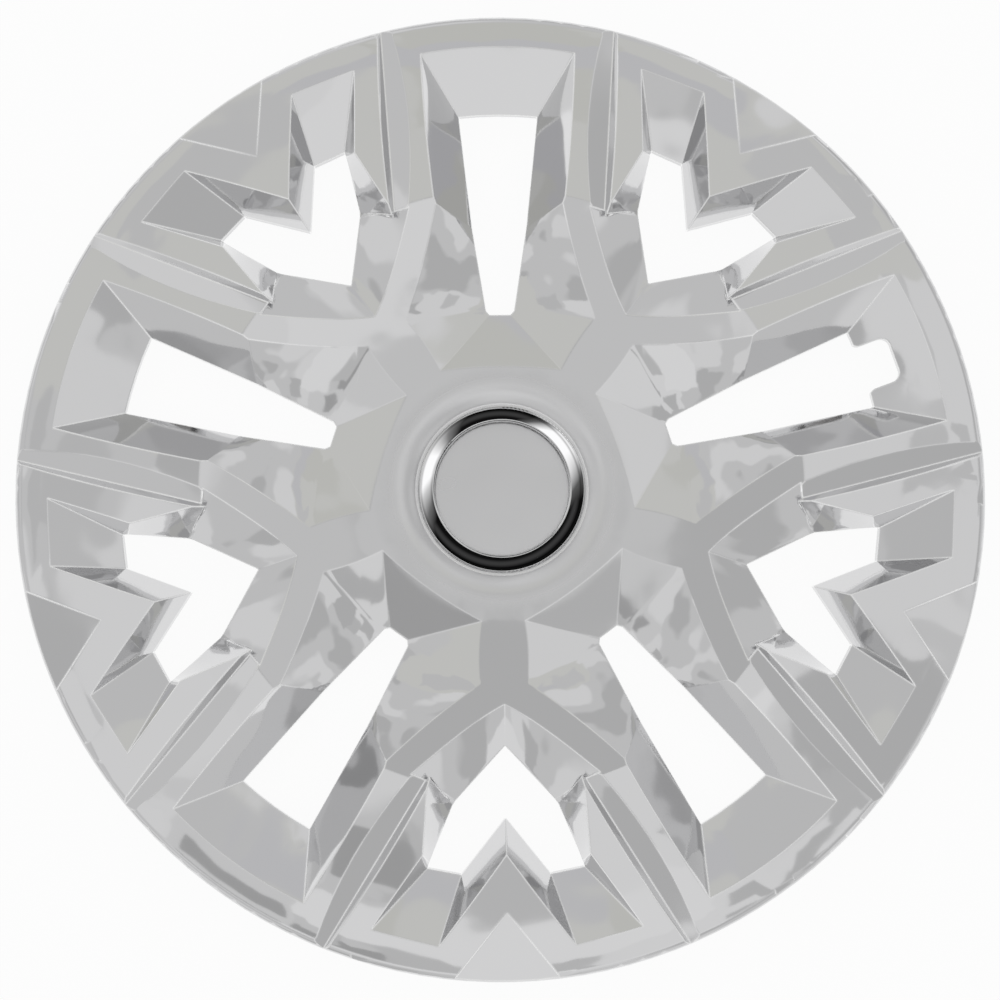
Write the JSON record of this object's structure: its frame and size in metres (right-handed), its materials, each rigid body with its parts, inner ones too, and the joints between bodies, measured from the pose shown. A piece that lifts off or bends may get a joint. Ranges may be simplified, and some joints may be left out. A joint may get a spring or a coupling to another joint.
{
  "type": "wheel cover",
  "caption": "Round chrome-plated wheel cover with long and chevron windows between forked spokes, a centre ring, a valve notch, and hooked lugs with a retaining wire behind.",
  "frame": {"origin": "on the cover's axis, in the plane of the clip lugs' tips, on which it lies", "axes": "+Z out of the face, +Y through the middle of one long window; the valve notch lies 18 degrees from +X towards +Y"},
  "size_m": [0.3999, 0.4, 0.0278],
  "materials": {
    "plating": "bright plating on moulded plastic",
    "bright_ring": "mirror bright",
    "wire": "dull drawn spring wire"
  },
  "bodies": {
    "root": {"cover": "plating", "centre_ring": "bright_ring", "retaining_wire": "wire"}
  },
  "joints": []
}
